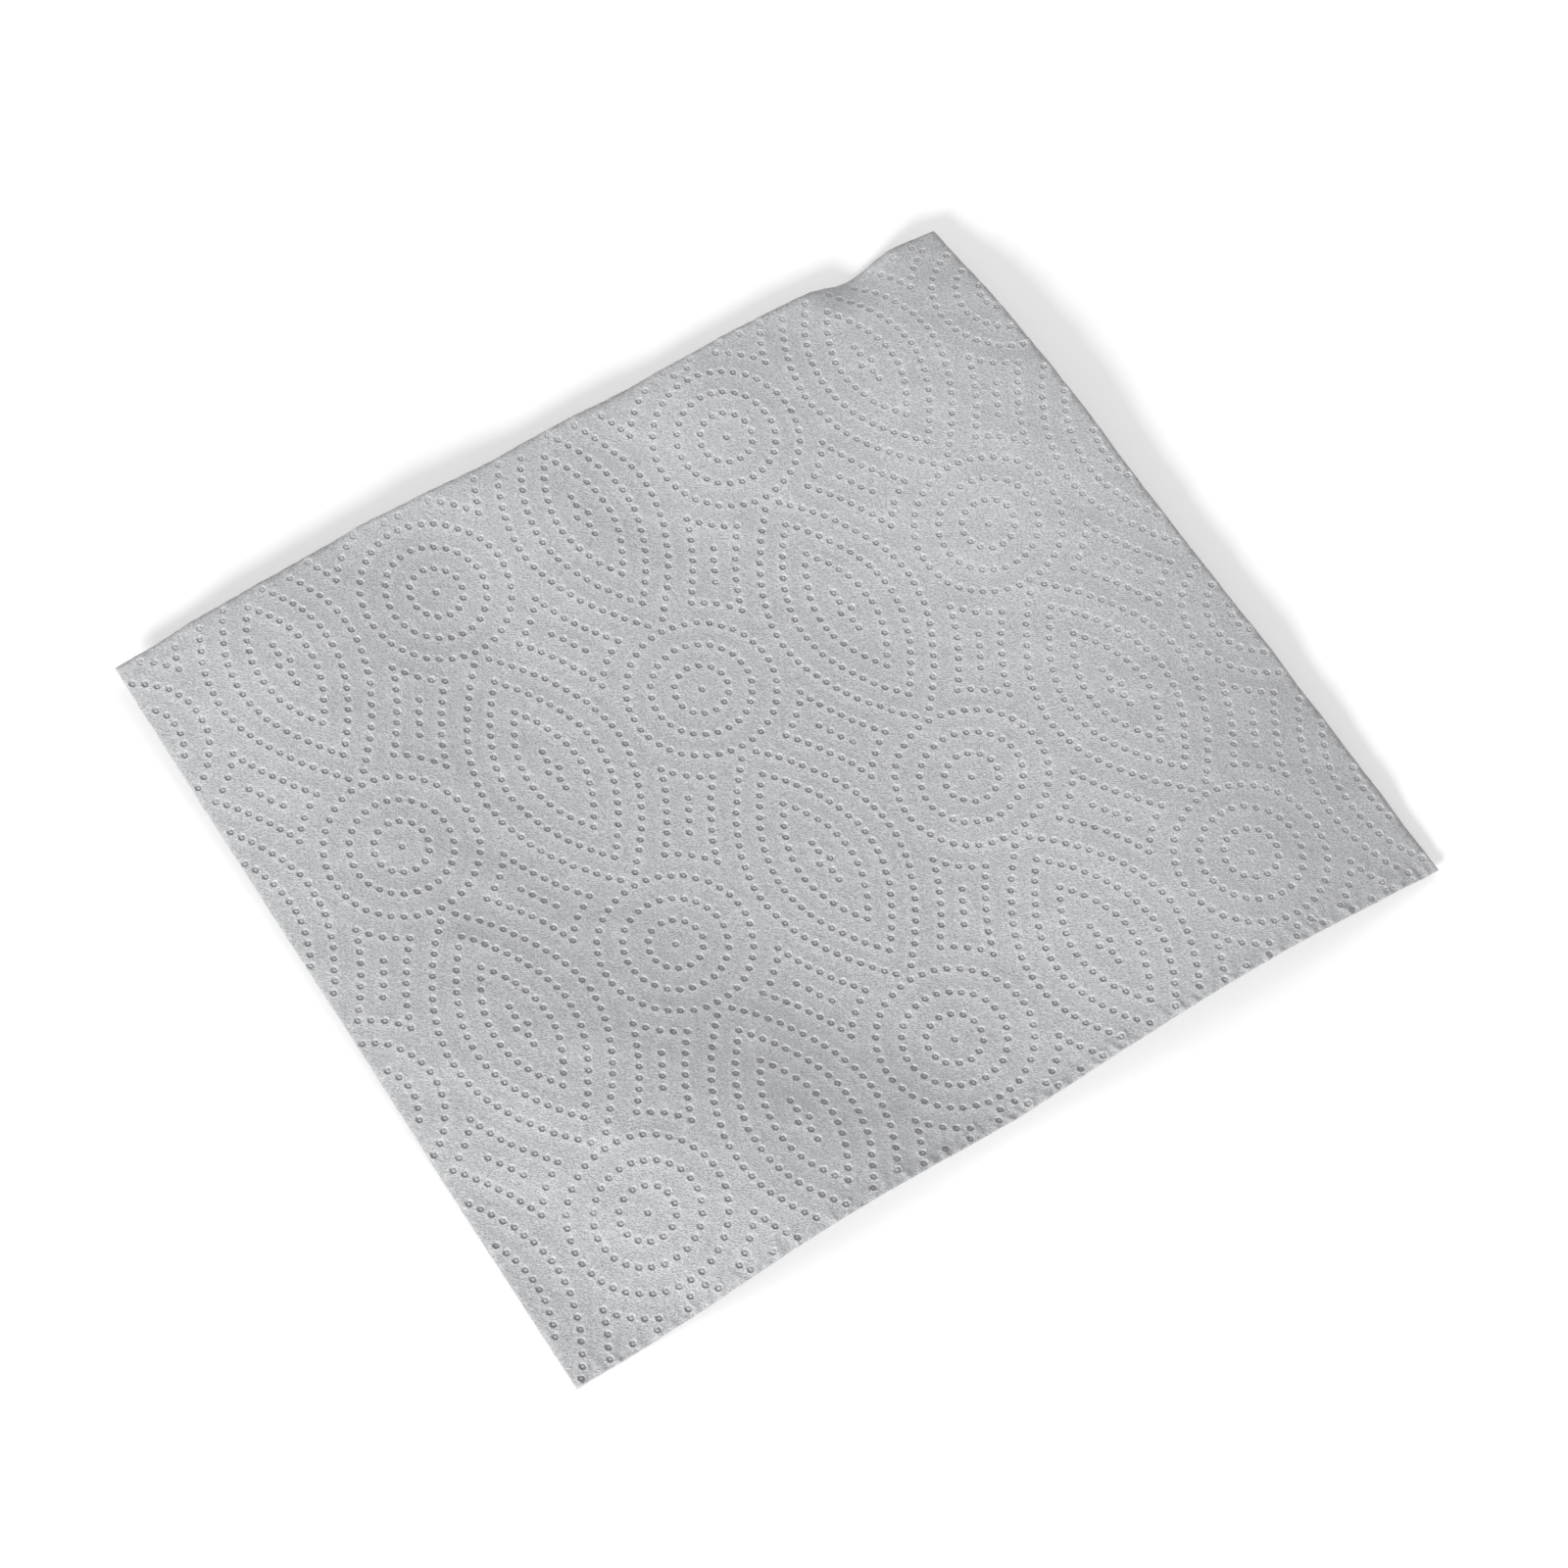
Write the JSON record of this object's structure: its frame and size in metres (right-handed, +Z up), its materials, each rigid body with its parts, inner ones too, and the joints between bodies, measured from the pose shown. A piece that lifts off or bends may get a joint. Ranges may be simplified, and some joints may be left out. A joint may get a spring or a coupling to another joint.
{
  "type": "paper towel sheet",
  "caption": "Embossed two-ply paper towel sheet, torn from its roll and lying loosely flat with gently lifted edges; dotted rings, pointed ovals and patches pressed into its top.",
  "frame": {"origin": "middle of the sheet, on the surface that it lies on", "axes": "+X along the roll's width, parallel to the torn edges; +Y along the length that comes off the roll; +Z up from the table, out of the sheet's top face"},
  "size_m": [0.28, 0.2531, 0.0137],
  "materials": {
    "paper": "matte"
  },
  "bodies": {
    "root": {"towel_sheet": "paper"}
  },
  "joints": []
}
